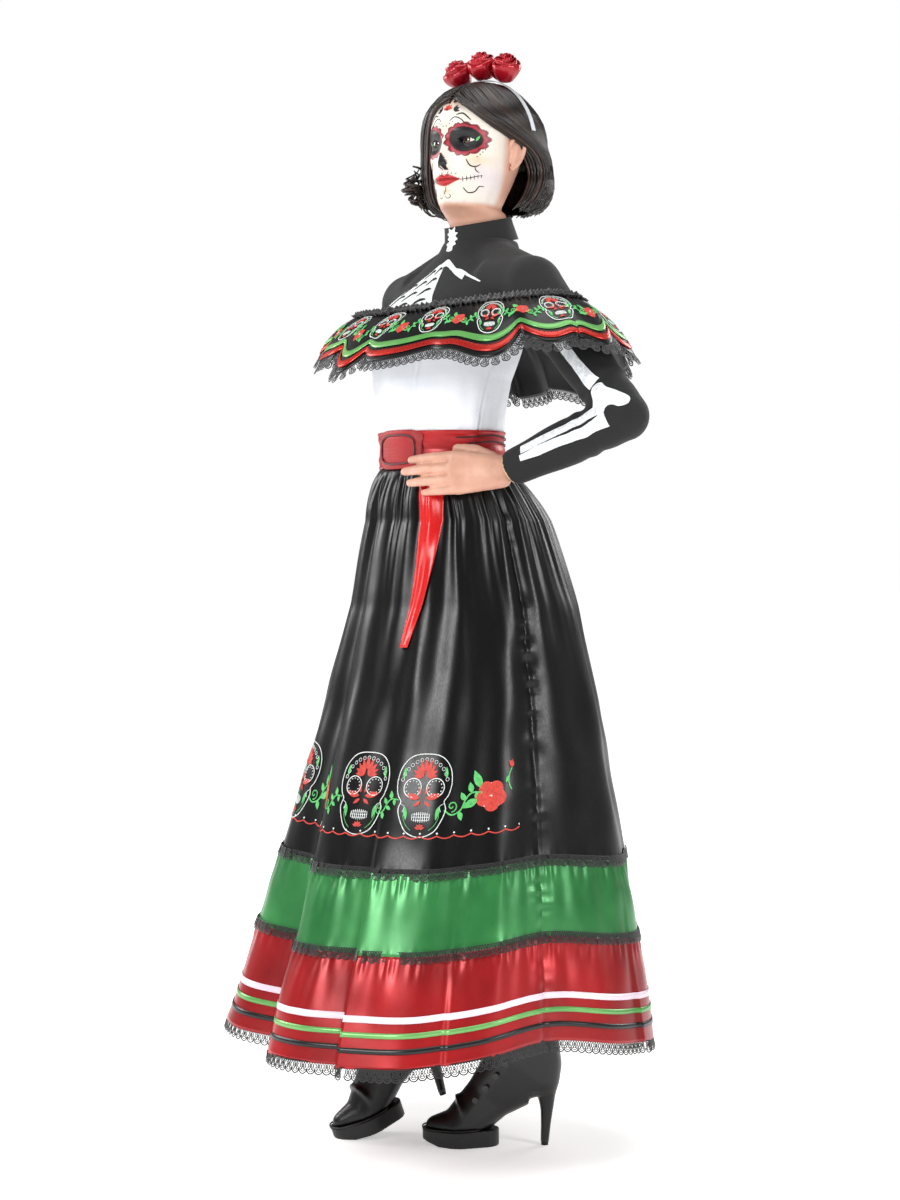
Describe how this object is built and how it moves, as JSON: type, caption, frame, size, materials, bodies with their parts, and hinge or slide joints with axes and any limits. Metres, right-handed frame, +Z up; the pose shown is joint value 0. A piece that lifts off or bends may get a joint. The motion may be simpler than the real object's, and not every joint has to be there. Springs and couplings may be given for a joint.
{
  "type": "catrina display figure",
  "caption": "Life-size standing catrina: a papier-mache figure in a bone-print top, frilled neckline, belt and tiered satin skirt, one hand on the hip, with a rose headband.",
  "frame": {"origin": "on the floor, at the middle of the figure's outline seen from above", "axes": "+Z up, the hips face -Y, the figure's left is +X"},
  "size_m": [0.7329, 0.6787, 1.835],
  "materials": {
    "wood": "planed pine, waxed",
    "steel": "drawn bar",
    "papier_mache": "pasted paper, matt size",
    "painted_hand": "papier-mache, satin paint",
    "painted_face": "papier-mache, gessoed and painted",
    "black_leather": "polished calf",
    "boot_sole": "leather-covered platform",
    "boot_heel": "lacquered stiletto",
    "heel_rubber": "moulded",
    "boot_button": "polished",
    "printed_black_satin": "black satin with a printed flower and skull border",
    "green_satin": "satin",
    "red_satin": "satin",
    "black_lace": "net lace with a scalloped edge",
    "white_ribbon": "satin ribbon",
    "green_ribbon": "satin ribbon",
    "black_ribbon": "satin ribbon",
    "red_ribbon": "satin ribbon",
    "white_cotton": "plain weave cotton",
    "printed_jersey": "matt stretch jersey with a printed bone pattern",
    "black_jersey": "matt stretch jersey",
    "printed_frill_satin": "black satin with a printed flower and skull border",
    "red_satin_belt": "lined satin",
    "padded_buckle": "padded satin plaque with piping",
    "red_satin_sash": "satin",
    "glass_eye": "blown glass eye",
    "wig_hair": "synthetic hair, glossy",
    "silver_satin": "satin over a plastic hoop",
    "rose_satin": "folded satin"
  },
  "bodies": {
    "figure": {"hip_block": "wood", "spine_rod": "steel", "shoulder_bar": "steel", "left_leg_rod": "steel", "right_leg_rod": "steel", "torso_shell": "papier_mache", "neck_socket": "wood", "left_leg": "papier_mache", "right_leg": "papier_mache", "left_boot_upper": "black_leather", "right_boot_upper": "black_leather", "left_boot_platform": "boot_sole", "right_boot_platform": "boot_sole", "left_boot_heel": "boot_heel", "right_boot_heel": "boot_heel", "left_heel_tip": "heel_rubber", "right_heel_tip": "heel_rubber", "boot_buttons": "boot_button", "skirt_panel": "printed_black_satin", "skirt_green_tier": "green_satin", "skirt_red_tier": "red_satin", "upper_seam_lace": "black_lace", "lower_seam_lace": "black_lace", "hem_lace": "black_lace", "white_hem_ribbon": "white_ribbon", "green_hem_ribbon": "green_ribbon", "black_hem_ribbon": "black_ribbon", "bodice": "white_cotton", "yoke": "printed_jersey", "collar": "black_jersey", "frill": "printed_frill_satin", "frill_green_ribbon": "green_ribbon", "frill_red_ribbon": "red_ribbon", "frill_lace": "black_lace", "belt": "red_satin_belt", "buckle": "padded_buckle", "sash_tail": "red_satin_sash", "left_upper_arm": "papier_mache", "right_upper_arm": "papier_mache", "left_upper_sleeve": "printed_jersey", "right_upper_sleeve": "printed_jersey", "left_elbow_fork": "wood", "right_elbow_fork": "wood", "left_elbow_pin": "steel", "right_elbow_pin": "steel"},
    "head": {"head_shell": "painted_face", "neck_peg": "steel", "glass_eyes": "glass_eye", "wig": "wig_hair"},
    "headband": {"headband": "silver_satin", "roses": "rose_satin"},
    "left_forearm": {"left_forearm": "papier_mache", "left_forearm_sleeve": "printed_jersey", "left_wrist_peg": "steel", "left_hand": "painted_hand"},
    "right_forearm": {"right_forearm": "papier_mache", "right_forearm_sleeve": "printed_jersey"},
    "right_hand": {"right_wrist_peg": "steel", "right_hand": "painted_hand"}
  },
  "joints": [
    {"name": "neck_turn", "type": "hinge", "parent": "figure", "child": "head", "pos_m": [-0.04577, 0.08006, 1.482], "axis": [0, 0, 1], "range_deg": [-35, 35]},
    {"name": "headband_lift", "type": "slide", "parent": "head", "child": "headband", "axis": [0, 0, 1], "range_m": [0, 0.12]},
    {"name": "left_elbow_bend", "type": "hinge", "parent": "figure", "child": "left_forearm", "pos_m": [0.333, 0.131, 1.2], "axis": [-0.0208, -0.588, 0.8086], "range_deg": [0, 40]},
    {"name": "right_elbow_bend", "type": "hinge", "parent": "figure", "child": "right_forearm", "pos_m": [-0.239, 0.095, 1.13], "axis": [-0.9901, 0.0054, 0.1401], "range_deg": [0, 40]},
    {"name": "right_wrist_turn", "type": "hinge", "parent": "right_forearm", "child": "right_hand", "pos_m": [-0.272, 0.065, 0.898], "axis": [-0.1397, -0.127, -0.982], "range_deg": [-45, 45]}
  ]
}
